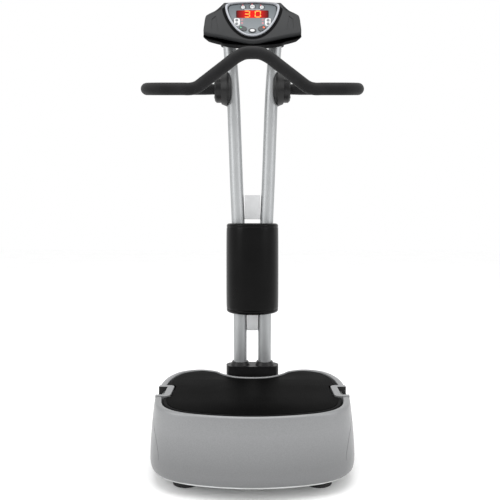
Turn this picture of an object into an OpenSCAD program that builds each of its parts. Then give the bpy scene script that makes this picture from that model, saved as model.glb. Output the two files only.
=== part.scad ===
// Standing vibration plate: a rocking deck in a moulded casing, a twin-tube column with a padded
// roller, a closed-loop handlebar and a two-wing console.
// Millimetres, +Z up. The user stands on the deck and faces +Y. The origin is on the floor, below
// the middle of the whole machine.

/* [Base] */
// Distance of the base's middle behind the origin
base_y = -17; // [-18:1:-16]
// Height of the casing's rim above the floor
rim_z = 188; // [180:1:196]
// Height of the casing's lower edge above the floor
casing_z = 32; // [32:1:36]
// Thickness of the casing's moulded wall
wall = 3; // [2.5:0.5:3.5]
// Width of the silver rim around the deck
rim_w = 9; // [8:1:11]
// Gap between the rim and the rocking deck
deck_gap = 4; // [3.5:0.5:5]
// Thickness of the steel base plate
plate_t = 5; // [4:1:5]
// Diameter of a rubber foot
foot_d = 66; // [60:2:70]

/* [Drive] */
// Height of the deck's rocking axis
pivot_z = 135; // [133:1:137]
// Diameter of the rocking shaft
pivot_d = 20; // [18:1:20]
// Sideways distance from the rocking axis to the crankshaft
crank_x = 125; // [120:1:130]
// Height of the crankshaft and of the motor
crank_z = 82; // [80:1:84]
// Throw of the crank pin
crank_e = 4; // [3:0.5:4]
// Diameter of the driven pulley
pulley_d = 84; // [76:2:84]
// Diameter of the motor pulley
motor_pulley_d = 28; // [24:2:30]
// Sideways distance from the rocking axis to the motor
motor_x = 95; // [92:1:100]
// Diameter of the motor
motor_d = 84; // [76:2:86]

/* [Column] */
// Distance of the column behind the base's middle
column_back = 184; // [182:1:186]
// Diameter of a column tube
tube_d = 38; // [36:1:40]
// Distance between the tubes' centres where the column leaves the base
tube_gap = 71; // [68:1:74]
// Distance between the tubes' centres at the console
tube_gap_top = 136; // [132:2:140]
// Height of the column tubes' upper ends
tube_top_z = 1158; // [1150:2:1160]
// Height of the roller pad's lower edge
pad_z = 362; // [355:1:370]
// Length of the roller pad
pad_h = 258; // [240:2:262]
// Diameter of the roller pad
pad_d = 153; // [148:1:158]

/* [Handlebar] */
// Half of the handlebar's width to the grip's centre line
bar_x = 281; // [275:1:290]
// Height of the front grips
grip_z = 965; // [955:1:975]
// Height of the rear bar where it enters the housings
rear_z = 1012; // [1005:1:1018]
// Distance of the front grips in front of the column
reach = 200; // [185:5:205]
// Height of the bar's raised middle
hump_z = 1058; // [1050:1:1062]
// Outer diameter of the foam sleeve
foam_d = 32; // [30:1:34]
// Diameter of the steel bar
bar_d = 24; // [22:1:25]

/* [Console] */
// Angle that the console's face leans back from upright
tilt = 18; // [16:1:20]
// Height of the middle of the face
console_z = 1177; // [1175:1:1179]
// Distance of the middle of the face behind the base's middle
face_back = 82; // [80:1:84]
// Thickness of the front shell
front_t = 10; // [9:1:12]
// Depth of the rear shell
back_d = 42; // [38:1:44]
// Travel of a key
key_travel = 0.8; // [0.6:0.1:1]

/* [Hidden] */

// Right half of the rim's outline, from the middle of the front edge round to the middle of the column's notch.
rim_half = [[0, -216], [100, -206], [180, -181], [226, -135], [243, -60], [247, 20], [241, 110], [212, 178],
    [158, 206], [108, 190], [80, 156], [46, 130], [0, 122]];
// Height and outward offset from the rim's outline, along the casing's wall: up the outside, down the inside.
casing_outside = [[0, 1], [4, 6], [12, 9], [26, 10], [60, 9], [100, 6], [133, 2.5], [148, 0.4], [154, -1.6]];
column_y = base_y + column_back;
console_y = base_y + face_back;
steel = "#b9bcbe";
black = "#161617";

// ---- shared geometry ----
// One point of a Catmull-Rom curve between b and c.
function catmull(a, b, c, d, t) =
    0.5 * (2 * b + (c - a) * t + (2 * a - 5 * b + 4 * c - d) * t * t + (3 * b - a - 3 * c + d) * t * t * t);
// A closed smooth curve through the points, with m steps between two of them.
function closed_curve(p, m) = let (n = len(p))
    [for (i = [0:n - 1], k = [0:m - 1]) catmull(p[(i + n - 1) % n], p[i], p[(i + 1) % n], p[(i + 2) % n], k / m)];
// An open smooth curve through the points.
function open_curve(p, m) = let (n = len(p))
    concat([for (i = [0:n - 2], k = [0:m - 1])
        catmull(p[max(i - 1, 0)], p[i], p[i + 1], p[min(i + 2, n - 1)], k / m)], [p[n - 1]]);
function mirrored(half) = concat(half, [for (i = [len(half) - 2:-1:1]) [-half[i].x, half[i].y]]);
function unit(v) = v / norm(v);
// The closed outline moved outward by d.
function grown(c, d) = let (n = len(c))
    [for (i = [0:n - 1]) let (t = unit(c[(i + 1) % n] - c[(i + n - 1) % n])) c[i] + d * [t.y, -t.x]];
function at_height(c, z) = [for (p = c) [p.x, p.y, z]];
// A circle of points around p, square to the tangent t.
function circle_at(p, t, ref, r, n) = let (u = unit(cross(ref, t)), v = cross(t, u))
    [for (k = [0:n - 1]) p + r * (cos(360 * k / n) * u + sin(360 * k / n) * v)];
function tube_rings(path, r, n, ref) = let (m = len(path))
    [for (i = [0:m - 1]) circle_at(path[i], unit(path[min(i + 1, m - 1)] - path[max(i - 1, 0)]), ref, r, n)];

// A solid through a stack of rings with equal numbers of points, closed by caps or, with ring = true, on itself.
module loft(rings, ring = false) {
    n = len(rings[0]);
    m = len(rings);
    sides = [for (j = [0:(ring ? m - 1 : m - 2)], i = [0:n - 1])
        let (a = j * n + i, b = j * n + (i + 1) % n, c = ((j + 1) % m) * n + (i + 1) % n, d = ((j + 1) % m) * n + i)
        each [[a, d, c], [a, c, b]]];
    caps = ring ? [] : [[for (i = [0:n - 1]) i], [for (i = [n - 1:-1:0]) (m - 1) * n + i]];
    polyhedron([for (r = rings) each r], concat(sides, caps), convexity = 8);
}

rim = [for (p = closed_curve(mirrored(rim_half), 4)) p + [0, base_y]];
module rim_plate(z, t, d) { translate([0, 0, z]) linear_extrude(t) polygon(grown(rim, d)); }
// The rim's lip is wider at the sides than in front, so the deck inside it is a little narrower.
side_k = 0.965;
function narrowed(c) = [for (p = c) [p.x * side_k, p.y]];
module deck_slab(z, t, d) { translate([0, 0, z]) linear_extrude(t) polygon(narrowed(grown(rim, d))); }
module at_each(points) { for (p = points) translate(p) children(); }
module left_of(x) { mirror([x > 0 ? 0 : 1, 0, 0]) children(); }
// A cylinder along +Y, from p.
module rod_y(p, d, l, sides = 48) { translate(p) rotate([-90, 0, 0]) cylinder(d = d, h = l, $fn = sides); }
// A cylinder along +X, from p.
module rod_x(p, d, l, sides = 48) { translate(p) rotate([0, 90, 0]) cylinder(d = d, h = l, $fn = sides); }
module block(x, y, z) { translate([x[0], y[0], z[0]]) cube([x[1] - x[0], y[1] - y[0], z[1] - z[0]]); }
// A flat rounded bar: width w along X, height h along Y, thickness t along Z, from z = 0.
module pill(w, h, t, r) {
    linear_extrude(t) union() {
        square([w - 2 * r, h], center = true);
        square([w, h - 2 * r], center = true);
        for (x = [-1, 1], y = [-1, 1]) translate([x * (w / 2 - r), y * (h / 2 - r)]) circle(r, $fn = 32);
    }
}

// ---- base ----
foot_at = [for (x = [-157, 157], y = [-115, 150]) [x, base_y + y]];
foot_bolt_d = 10;
plate_z = casing_z - plate_t - 0.3;
plate_top = plate_z + plate_t;
tongue_x = 66;
tongue_back = base_y + 226;
rail_x = 150;
rail_h = 4;
rail_y = [base_y - 150, base_y + 172];
cross_y = [base_y - 110, base_y - 28, base_y + 60];
cross_w = 40;
floor_z = plate_top + rail_h + 0.1;

module base_plate() {
    color(steel) difference() {
        union() {
            rim_plate(plate_z, plate_t, -5);
            block([-tongue_x, tongue_x], [base_y + 90, tongue_back], [plate_z, plate_top]);
        }
        for (p = foot_at) translate([p.x, p.y, 0]) cylinder(d = foot_bolt_d, h = 60, $fn = 32);
        for (p = screw_at) translate([p.x, p.y, 0]) cylinder(d = 4.4, h = 60, $fn = 24);
    }
}

// Two long rails and three cross members of flat bar, welded to the plate.
module base_rails() {
    color("#303234") difference() {
        union() {
            for (s = [-1, 1])
                block([s * rail_x - 15, s * rail_x + 15], rail_y, [plate_top, plate_top + rail_h]);
            for (y = cross_y) block([-rail_x, rail_x], [y, y + cross_w], [plate_top, plate_top + rail_h]);
        }
        for (p = foot_at) translate([p.x, p.y, 0]) cylinder(d = foot_bolt_d, h = 60, $fn = 32);
    }
}

inner_wall = [for (i = [len(casing_outside) - 3:-1:0]) [casing_outside[i][0], casing_outside[i][1] - wall]];
module casing() {
    h = rim_z - casing_z;
    lip = [[h - 1, -rim_w + 1], [h - 5, -rim_w], [h - 14, -rim_w], [h - 15, -rim_w + 2]];
    rings = concat([for (p = concat(casing_outside, [[h, -4.5]])) at_height(grown(rim, p[1]), casing_z + p[0])],
        [for (p = lip) at_height(narrowed(grown(rim, p[1])), casing_z + p[0])],
        [for (p = inner_wall) at_height(grown(rim, p[1]), casing_z + p[0])]);
    color("#a2a4a6") difference() {
        union() {
            loft(rings, ring = true);
            block([inlet_x - 33, inlet_x + 33], [inlet_y - 18, inlet_y - 0.2], [inlet_z - 19, inlet_z + 19]);
        }
        for (s = [-1, 1]) left_of(s) strap_notch();
        block([inlet_x - 26, inlet_x + 26], [inlet_y - 60, inlet_y + 16], [inlet_z - 12.5, inlet_z + 12.5]);
    }
}

module foot_pads() {
    color(black) for (p = foot_at) translate([p.x, p.y, 0]) rotate_extrude($fn = 64)
        polygon([[0, 3], [foot_d / 2 - 8, 3], [foot_d / 2 - 4, 0], [foot_d / 2, 0], [foot_d / 2, 3],
            [foot_d / 2 - 4, 14], [foot_d / 2 - 12, 20], [foot_d / 2 - 14, plate_z - 0.01], [0, plate_z - 0.01]]);
}

module foot_bolts() {
    color(steel) for (p = foot_at) translate([p.x, p.y, plate_z + 0.01]) {
        cylinder(d = foot_bolt_d, h = plate_t + 4, $fn = 32);
        translate([0, 0, plate_t + 4]) cylinder(d = 17, h = 7, $fn = 6);
    }
}

screw_at = [for (a = [[135, -175], [54, -187], [209, -27], [205, 106]], s = [-1, 1]) [s * a.x, base_y + a.y]];
module casing_screws() {
    color(steel) for (p = screw_at) translate([p.x, p.y, plate_z - 3]) {
        cylinder(d = 9, h = 3, $fn = 32);
        cylinder(d = 4, h = 10, $fn = 24);
    }
}

// ---- rocking deck ----
stand_y = [base_y - 100, base_y + 70];
stand_t = 18;
deck_plate_z = 163;
deck_plate_t = 6;
mat_z = rim_z - 1;
cover_inset = -rim_w - deck_gap;

module pivot_stands() {
    color("#303234") for (y = stand_y) difference() {
        union() {
            block([-45, 45], [y, y + stand_t], [floor_z, floor_z + 8]);
            block([-22, 22], [y, y + stand_t], [floor_z, pivot_z]);
            rod_y([0, y, pivot_z], 44, stand_t, 64);
        }
        rod_y([0, y - 1, pivot_z], pivot_d + 8, stand_t + 2, 64);
    }
}

module pivot_bushes() {
    color("#c9a25a") for (y = stand_y) difference() {
        rod_y([0, y, pivot_z], pivot_d + 8, stand_t, 64);
        rod_y([0, y - 1, pivot_z], pivot_d + 0.1, stand_t + 2, 64);
    }
}

module pivot_shaft() {
    color(steel) rod_y([0, stand_y[0] - 22, pivot_z], pivot_d, stand_y[1] - stand_y[0] + stand_t + 44, 64);
}

hanger_y = [stand_y[0] - 16, stand_y[1] + stand_t + 4];
module deck_hangers() {
    color("#303234") for (y = hanger_y) difference() {
        union() {
            block([-26, 26], [y, y + 12], [pivot_z, deck_plate_z]);
            rod_y([0, y, pivot_z], 40, 12, 64);
        }
        rod_y([0, y - 1, pivot_z], pivot_d, 14, 64);
    }
}

module deck_frame() {
    color("#3a3c3e") difference() {
        union() {
            deck_slab(deck_plate_z, deck_plate_t, -50);
            for (y = [rod_y0 - lug_t - 2, rod_y0 + rod_t + 2])
                block([crank_x - 12, crank_x + 12], [y, y + lug_t], [rod_pin_z - 10, deck_plate_z + 1]);
        }
        rod_y([crank_x, rod_y0 - 20, rod_pin_z], rod_pin_d, rod_t + 40);
    }
}

module deck_cover() {
    outline = narrowed(grown(rim, cover_inset));
    color(black) difference() {
        loft([for (p = [[deck_plate_z + deck_plate_t, -2], [mat_z - 4, 0], [mat_z - 1.5, -0.4], [mat_z - 0.2, -2]])
            at_height(grown(outline, p[1]), p[0])]);
        deck_slab(mat_z - 2, 5, cover_inset - 8);
        intersection() {
            deck_slab(deck_plate_z, mat_z - 7 - deck_plate_z, cover_inset - 6);
            for (x = [-192:48:192]) block([x - 22, x + 22], [base_y - 220, base_y + 220], [deck_plate_z, mat_z]);
        }
        for (s = [-1, 1]) left_of(s) deck_notch();
    }
}

module deck_mat() {
    color("#101011") difference() {
        deck_slab(mat_z - 2, 2.5, cover_inset - 8.4);
        for (s = [-1, 1]) left_of(s) deck_notch(0.6);
    }
}

// ---- strap anchors, on the rim at both sides ----
anchor_y = [base_y - 62, base_y + 34];
anchor_x = 206;
anchor_h = 34;
module anchor_outline(extra) {
    linear_extrude(80) union() {
        translate([anchor_x - extra + 14, anchor_y[0] - extra])
            square([70, anchor_y[1] - anchor_y[0] + 2 * extra]);
        translate([anchor_x - extra, anchor_y[0] - extra + 14])
            square([70, anchor_y[1] - anchor_y[0] + 2 * extra - 28]);
        for (y = [anchor_y[0] - extra + 14, anchor_y[1] + extra - 14])
            translate([anchor_x - extra + 14, y]) circle(14, $fn = 40);
    }
}
module strap_notch() { translate([0, 0, rim_z - anchor_h - 0.3]) anchor_outline(0.3); }
module deck_notch(more = 0) { translate([0, 0, 120]) anchor_outline(deck_gap + more); }
slot_x = 223;
module strap_anchor() {
    color("#8f9193") difference() {
        intersection() {
            translate([0, 0, rim_z - anchor_h]) anchor_outline(0);
            rim_plate(rim_z - anchor_h, anchor_h + 1, -0.6);
        }
        block([slot_x, 280], [anchor_y[0] + 14, anchor_y[1] - 14], [rim_z - anchor_h + 6, rim_z + 5]);
    }
}
module strap_anchors() { for (s = [-1, 1]) left_of(s) strap_anchor(); }
module strap_pins() {
    color(steel) for (s = [-1, 1])
        rod_y([s * (slot_x + 8), anchor_y[0] + 14, rim_z - 14], 7, anchor_y[1] - anchor_y[0] - 28, 32);
}

// ---- drive ----
belt_y = -60;
belt_w = 12;
rod_y0 = 10;
rod_t = 14;
rod_pin_z = 146;
rod_pin_d = 12;
lug_t = 8;
crank_shaft_d = 22;
crank_pin_d = 12;
big_end_d = crank_pin_d + 4 * crank_e + 1;
bearing_y = [-34, 44];
bearing_t = 14;

module motor() {
    color("#26282a") union() {
        rod_y([-motor_x, -32, crank_z], motor_d, 128, 72);
        rod_y([-motor_x, -40, crank_z], 34, 8, 48);
        rod_y([-motor_x, 96, crank_z], motor_d - 12, 6, 72);
    }
}

module motor_cradle() {
    color("#303234") difference() {
        block([-motor_x - 50, -motor_x + 50], [-24, 86], [floor_z, crank_z - 22]);
        rod_y([-motor_x, -40, crank_z], motor_d + 0.6, 140, 72);
    }
}

module motor_rotor() {
    color(steel) difference() {
        union() {
            rod_y([-motor_x, -70, crank_z], 12, 29.5, 32);
            rod_y([-motor_x, belt_y - 1, crank_z], motor_pulley_d, belt_w + 2, 48);
            for (y = [belt_y - 4, belt_y + belt_w + 1]) rod_y([-motor_x, y, crank_z], motor_pulley_d + 6, 3, 48);
        }
        rod_y([-motor_x + 9, belt_y - 5, crank_z], 4, 3, 24);
    }
}

// The flat belt's outline: two arcs joined by straight runs, grown by g around both pulleys.
belt_span = crank_x + motor_x;
belt_lean = asin((pulley_d - motor_pulley_d) / 2 / belt_span);
function belt_outline(g) = concat(
    [for (k = [0:24]) let (a = -90 - belt_lean + (180 + 2 * belt_lean) * k / 24)
        [belt_span + (pulley_d / 2 + g) * cos(a), (pulley_d / 2 + g) * sin(a)]],
    [for (k = [0:12]) let (a = 90 + belt_lean + (180 - 2 * belt_lean) * k / 12)
        (motor_pulley_d / 2 + g) * [cos(a), sin(a)]]);
module drive_belt() {
    color(black) translate([-motor_x, belt_y + belt_w, crank_z]) rotate([90, 0, 0]) linear_extrude(belt_w)
        difference() {
            polygon(belt_outline(3));
            polygon(belt_outline(0.4));
        }
}

module crankshaft() {
    color(steel) union() {
        rod_y([crank_x, belt_y - 8, crank_z], crank_shaft_d, rod_y0 - 4 - belt_y + 8, 64);
        rod_y([crank_x, rod_y0 - 4, crank_z + crank_e], crank_pin_d, rod_t + 8, 48);
        rod_y([crank_x, rod_y0 + rod_t + 4, crank_z], crank_shaft_d,
            bearing_y[1] + bearing_t + 6 - rod_y0 - rod_t - 4, 64);
    }
}

module driven_pulley() {
    color("#8b8d8f") difference() {
        union() {
            rod_y([crank_x, belt_y - 1, crank_z], pulley_d, belt_w + 2, 96);
            rod_y([crank_x, belt_y - 6, crank_z], 34, belt_w + 12, 64);
        }
        rod_y([crank_x, belt_y - 7, crank_z], crank_shaft_d, belt_w + 14, 64);
        for (a = [0:60:300]) translate([crank_x, 0, crank_z]) rotate([0, a, 0])
            rod_y([27, belt_y - 2, 0], 13, belt_w + 4, 40);
    }
}

module crank_bearings() {
    color("#44474a") for (y = bearing_y) difference() {
        union() {
            rod_y([crank_x, y, crank_z], 44, bearing_t, 64);
            block([crank_x - 18, crank_x + 18], [y, y + bearing_t], [floor_z, crank_z]);
            block([crank_x - 34, crank_x + 34], [y, y + bearing_t], [floor_z, floor_z + 8]);
        }
        rod_y([crank_x, y - 1, crank_z], crank_shaft_d + 0.1, bearing_t + 2, 64);
    }
}

module connecting_rod() {
    color("#8b8d8f") difference() {
        union() {
            rod_y([crank_x, rod_y0, crank_z], big_end_d + 14, rod_t, 64);
            rod_y([crank_x, rod_y0, rod_pin_z], 22, rod_t, 48);
            block([crank_x - 7, crank_x + 7], [rod_y0, rod_y0 + rod_t], [crank_z + big_end_d / 2 + 2, rod_pin_z - 8]);
        }
        rod_y([crank_x, rod_y0 - 1, crank_z], big_end_d, rod_t + 2, 64);
        rod_y([crank_x, rod_y0 - 1, rod_pin_z], rod_pin_d + 0.1, rod_t + 2, 48);
    }
}

module rod_pin() {
    color(steel) rod_y([crank_x, rod_y0 - lug_t - 2, rod_pin_z], rod_pin_d, rod_t + 2 * lug_t + 4);
}

// ---- electrics in the base ----
inlet_x = -150;
inlet_z = 92;
inlet_y = base_y + 216.6;
controller_y = [base_y - 170, base_y - 114];
module controller_box() {
    color("#3d4a3f") union() {
        block([-70, -8], controller_y, [floor_z, plate_top + 44]);
        for (k = [0:6]) block([-68 + k * 9, -65 + k * 9], controller_y, [plate_top + 44, plate_top + 56]);
    }
}

module mains_inlet() {
    color(black) difference() {
        union() {
            block([inlet_x - 28, inlet_x + 28], [inlet_y, inlet_y + 3], [inlet_z - 14.5, inlet_z + 14.5]);
            block([inlet_x - 25.7, inlet_x + 25.7], [inlet_y - 32, inlet_y], [inlet_z - 12.2, inlet_z + 12.2]);
        }
        block([inlet_x - 24, inlet_x + 0], [inlet_y - 17, inlet_y + 4], [inlet_z - 8, inlet_z + 8]);
        block([inlet_x + 5, inlet_x + 21], [inlet_y - 14, inlet_y + 4], [inlet_z - 11, inlet_z + 11]);
    }
    color(steel) for (p = [[-7, 0], [0, 3], [7, 0]])
        block([inlet_x - 13 + p.x, inlet_x - 11 + p.x], [inlet_y - 17.5, inlet_y - 3],
            [inlet_z - 2 + p.y, inlet_z + 2 + p.y]);
}

switch_y = inlet_y - 5;
switch_throw = 16;
module power_switch() {
    color("#8c1c18") translate([inlet_x + 5.6, switch_y, inlet_z]) rotate([-switch_throw / 2, 0, 0]) difference() {
        rod_x([0, 0, 0], 19, 14.8, 48);
        block([-1, 20], [-12, -6.5], [-12, 12]);
        rod_x([-1, 34, 0], 56, 20, 72);
    }
}

// ---- column ----
column_half = tube_gap / 2;
socket_h = 90;
socket_bolt_z = [42, 74];
tube_wall = 2;
// Centre line of the right tube: upright to above the pad, then leaning gently outward.
tube_line = [[column_half, 0, plate_top + 8], [column_half, 0, 300], [column_half + 1.5, 0, 480],
    [column_half + 6, 0, 620], [column_half + 11, 0, 740], [column_half + 16, 0, 880],
    [column_half + 21, 0, 1000], [tube_gap_top / 2, 0, tube_top_z]];
function lean_at(z) = lookup(z, [for (p = tube_line) [p.z, p.x]]);

module column_foot() {
    color("#303234") difference() {
        union() {
            block([-62, 62], [column_y - 30, column_y + 30], [plate_top + 0.01, plate_top + 8]);
            for (s = [-1, 1]) translate([s * column_half, column_y, plate_top])
                cylinder(d = tube_d + 8, h = socket_h, $fn = 72);
            block([-column_half, column_half], [column_y - 5, column_y + 5], [plate_top, plate_top + socket_h - 10]);
        }
        for (s = [-1, 1]) translate([s * column_half, column_y, plate_top + 8])
            cylinder(d = tube_d + 0.4, h = socket_h, $fn = 72);
        for (s = [-1, 1], z = socket_bolt_z) translate([s * column_half, column_y, plate_top + z])
            rotate([90, 0, 0]) cylinder(d = 8.4, h = 40, $fn = 40);
    }
}

module column_bolts() {
    color(steel) for (s = [-1, 1], z = socket_bolt_z)
        translate([s * column_half, column_y, plate_top + z]) rotate([90, 0, 0]) {
            translate([0, 0, tube_d / 2 + 0.5]) cylinder(d = 8, h = 4, $fn = 32);
            translate([0, 0, tube_d / 2 + 4.2]) cylinder(d = 13, h = 3, $fn = 6);
        }
}

collar_h = 182;
collar_lip = 12;
module collar_form(grow, z0, z1) {
    translate([0, column_y, z0]) linear_extrude(z1 - z0) union() {
        square([96, 2 * (30 + grow)], center = true);
        for (s = [-1, 1]) translate([s * 46, 0]) circle(30 + grow, $fn = 72);
    }
}
module column_collar() {
    color(black) difference() {
        union() {
            collar_form(1.5, plate_top + 8.5, 120);
            collar_form(0, 120, plate_top + collar_h - 6);
            for (s = [-1, 1]) translate([s * column_half, column_y, plate_top + collar_h - 8])
                cylinder(d1 = tube_d + 20, d2 = tube_d + 9, h = collar_lip, $fn = 64);
        }
        collar_form(-3, plate_top + 8, plate_top + collar_h - 9);
        for (s = [-1, 1]) translate([s * column_half, column_y, 100]) cylinder(d = tube_d + 0.8, h = 200, $fn = 72);
    }
}

function reversed(v) = [for (i = [len(v) - 1:-1:0]) v[i]];
// A pipe along a path: up the outside and back down the bore.
module pipe(path, r, wall, n, ref) {
    loft(concat(tube_rings(path, r, n, ref), reversed(tube_rings(path, r - wall, n, ref))), ring = true);
}
module column_tube(s) {
    line = [for (p = open_curve(tube_line, 2)) [s * p.x, column_y, p.z]];
    color("#c4c6c8") pipe(line, tube_d / 2, tube_wall, 32, [0, 1, 0]);
}
module column_tube_left() { column_tube(-1); }
module column_tube_right() { column_tube(1); }

module crossbar(z, h, t) {
    half = lean_at(z) - tube_d / 2 - 0.2;
    color("#b4b6b8") union() {
        block([-half, half], [column_y - t / 2, column_y + t / 2], [z, z + h]);
        block([-half, half], [column_y - t / 2 - 3, column_y + t / 2 + 3], [z, z + 4]);
    }
}
module upper_crossbar() { crossbar(632, 70, 20); }
module lower_crossbar() { crossbar(309, 46, 20); }

// The padded roller closes round both tubes.
module roller_pad() {
    color("#1c1c1e") difference() {
        translate([0, column_y, pad_z]) rotate_extrude($fn = 96) union() {
            square([pad_d / 2 - 8, pad_h]);
            translate([0, 8]) square([pad_d / 2, pad_h - 16]);
            for (z = [8, pad_h - 8]) translate([pad_d / 2 - 8, z]) circle(8, $fn = 32);
        }
        for (s = [-1, 1]) loft(tube_rings([for (z = [pad_z - 5, 480, pad_z + pad_h + 5]) [s * lean_at(z), column_y, z]],
            tube_d / 2 + 1.2, 32, [0, 1, 0]));
    }
}

// ---- handlebar: one closed loop through both housings ----
front_y = column_y - reach;
housing_z = rear_z;
housing_r = 50;
housing_x = lean_at(housing_z);
// From the tube's middle outward: where the saddle starts, where the cap meets it and where the cap ends.
saddle_x = 3;
cap_x = 33;
cap_end = 52;
bar_seat = 24;
bend_r = 58;
function bend(c, u, v, a) = c + bend_r * (cos(a) * u + sin(a) * v);
side_slope = unit([0, reach, rear_z - grip_z]);
// Right half of the centre line, from the hump round the grip's end to the housing.
bar_start = [[0, front_y, hump_z], [22, front_y, hump_z - 2], [44, front_y, hump_z - 13]];
bar_bend = [[124, front_y, grip_z + 18], [142, front_y, grip_z + 5], [160, front_y, grip_z]];
bar_grip = [for (x = [180, 206]) [x, front_y, grip_z]];
front_turn = [for (a = [0:15:90])
    bend([bar_x - bend_r, front_y, grip_z] + bend_r * side_slope, -side_slope, [1, 0, 0], a)];
rear_turn = [for (a = [0:15:90])
    bend([bar_x - bend_r, column_y, rear_z] - bend_r * side_slope, [1, 0, 0], side_slope, a)];
bar_end = [for (x = [190, 150, housing_x + cap_end + 1, housing_x + bar_seat]) [x, column_y, rear_z]];
half_line = concat(bar_start, [for (t = [0.25, 0.5, 0.75]) (1 - t) * bar_start[2] + t * bar_bend[0]],
    bar_bend, bar_grip, front_turn, rear_turn, bar_end);
function flipped(p) = [for (i = [len(p) - 1:-1:1]) [-p[i].x, p[i].y, p[i].z]];
bar_line = concat(flipped(half_line), half_line);

module handlebar_foam() {
    line = [for (i = [1:len(bar_line) - 2]) bar_line[i]];
    color(black) pipe(line, foam_d / 2, (foam_d - bar_d) / 2 - 0.5, 20, [0, 0, 1]);
}
module handlebar_tube() {
    color("#c4c6c8") pipe(bar_line, bar_d / 2, 2, 12, [0, 0, 1]);
}

// Room for the leaning column tube, from the housing's centre.
module tube_bore() {
    translate([lean_at(housing_z - housing_r) - housing_x, 0, -housing_r])
        rotate([0, atan((lean_at(housing_z + housing_r) - lean_at(housing_z - housing_r)) / 2 / housing_r), 0])
            translate([0, 0, -20]) cylinder(d = tube_d + 2.4, h = 2 * housing_r + 40, $fn = 72);
}
// The inner cover is a saddle on the tube's outer side; the outer cover is a round cap that the bar comes out of.
module bar_bore() { translate([bar_seat - 1, 0, 0]) rotate([0, 90, 0]) cylinder(d = bar_d + 1, h = 60, $fn = 48); }
module housing_inner() {
    color(black) translate([housing_x, column_y, housing_z]) difference() {
        translate([saddle_x, 0, 0]) rotate([0, 90, 0]) union() {
            cylinder(r1 = housing_r - 18, r2 = housing_r - 5, h = 7, $fn = 96);
            translate([0, 0, 7]) cylinder(r1 = housing_r - 5, r2 = housing_r, h = 6, $fn = 96);
            translate([0, 0, 13]) cylinder(r1 = housing_r, r2 = housing_r - 7, h = cap_x - saddle_x - 13, $fn = 96);
        }
        tube_bore();
        bar_bore();
    }
}
module housing_outer() {
    color(black) translate([housing_x, column_y, housing_z]) difference() {
        translate([cap_x + 0.3, 0, 0]) rotate([0, 90, 0]) union() {
            cylinder(r = housing_r - 11, h = cap_end - cap_x - 5.3, $fn = 96);
            translate([0, 0, cap_end - cap_x - 5.3]) cylinder(r1 = housing_r - 11, r2 = housing_r - 16, h = 5, $fn = 96);
        }
        bar_bore();
    }
}
module housing_inner_left() { left_of(-1) housing_inner(); }
module housing_inner_right() { housing_inner(); }
module housing_outer_left() { left_of(-1) housing_outer(); }
module housing_outer_right() { housing_outer(); }
module housing_bolts() {
    color(steel) for (s = [-1, 1], a = [30, 150, 270]) left_of(s)
        translate([housing_x + cap_end + 0.02, column_y + 24 * cos(a), housing_z + 24 * sin(a)])
            rotate([0, 90, 0]) cylinder(d = 6, h = 2.5, $fn = 32);
}

// ---- console ----
// Everything on the console is drawn in its face's own frame: x right, y up the face, z out of it.
module on_face(z = 0) {
    translate([0, console_y, console_z]) rotate([90 - tilt, 0, 0]) translate([0, 0, z]) children();
}
// Right half of the front shell's outline, from the top middle round to the bottom middle.
shell_half = [[0, 64], [40, 63], [72, 58], [86, 43], [100, 35], [124, 21], [130, 12], [133, -13], [134, -33],
    [129, -42], [90, -51], [45, -62], [0, -70]];
// Right half of the bezel's outline: an arched top and sides that close in to a round bottom.
shield_half = [[0, 60], [40, 58], [66, 54], [75, 47], [75, 30], [68, 8], [57, -14], [42, -34], [22, -49],
    [0, -54]];
// Right half of the rear shell's outline, which shows below the front shell as a lip.
back_half = [[0, 63], [40, 62], [71, 57], [85, 42], [99, 34], [122, 20], [128, 11], [132, -13], [134, -38],
    [130, -51], [92, -63], [78, -69], [40, -73], [0, -74]];
function outline_of(half, m) = closed_curve(concat(reversed(half),
    [for (i = [1:len(half) - 2]) [-half[i].x, half[i].y]]), m);
// The shield drawn smaller by the factor k, about a point below its top.
function smaller(k) = [for (p = shield) [k * p.x, shield_mid + k * (p.y - shield_mid)]];
shell = outline_of(shell_half, 4);
shield = outline_of(shield_half, 4);
back_outline = outline_of(back_half, 3);
shield_mid = 20;
bezel_k = 0.875;
groove_w = 7;
bezel_out = 3;
panel_z = -1;
window_c = [0, 21];
window_size = [90, 25];

module front_stack(inner) {
    g = inner ? -2.6 : 0;
    loft([for (p = [[-front_t - (inner ? 1 : 0), g], [-8, g], [-2.5, g - 1.2], [inner ? -2.6 : 0, g - 4]])
        at_height(grown(shell, p[1]), p[0])]);
}
module console_front() {
    color("#4a4b4d") on_face() difference() {
        front_stack(false);
        front_stack(true);
        linear_extrude(30, center = true) polygon(shield);
        translate([0, 0, -1.6]) linear_extrude(5) polygon(grown(shield, groove_w));
        for (s = [-1, 1]) left_of(s) translate([0, 0, -1.2]) linear_extrude(5)
            polygon([[101, 15], [112, 4], [113, -26], [93, -31]]);
    }
}

module console_back() {
    color(black) on_face() difference() {
        loft([for (p = [[-back_d, 0.72], [8 - back_d, 0.82], [22 - back_d, 0.93], [-0.1, 1]])
            at_height(p[1] * back_outline, p[0] - front_t)]);
        loft([for (p = [[3 - back_d, 0.69], [10 - back_d, 0.79], [22 - back_d, 0.9], [1, 0.97]])
            at_height(p[1] * back_outline, p[0] - front_t)]);
    }
}

module console_bezel() {
    color("#d4d6d8") on_face() difference() {
        loft([for (p = [[-5, 0.994], [bezel_out - 1.5, 0.994], [bezel_out, 0.97]]) at_height(smaller(p[1]), p[0])]);
        loft([for (p = [[-6, bezel_k], [bezel_out - 1.5, bezel_k], [bezel_out + 1, bezel_k + 0.02]])
            at_height(smaller(p[1]), p[0])]);
    }
}

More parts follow.
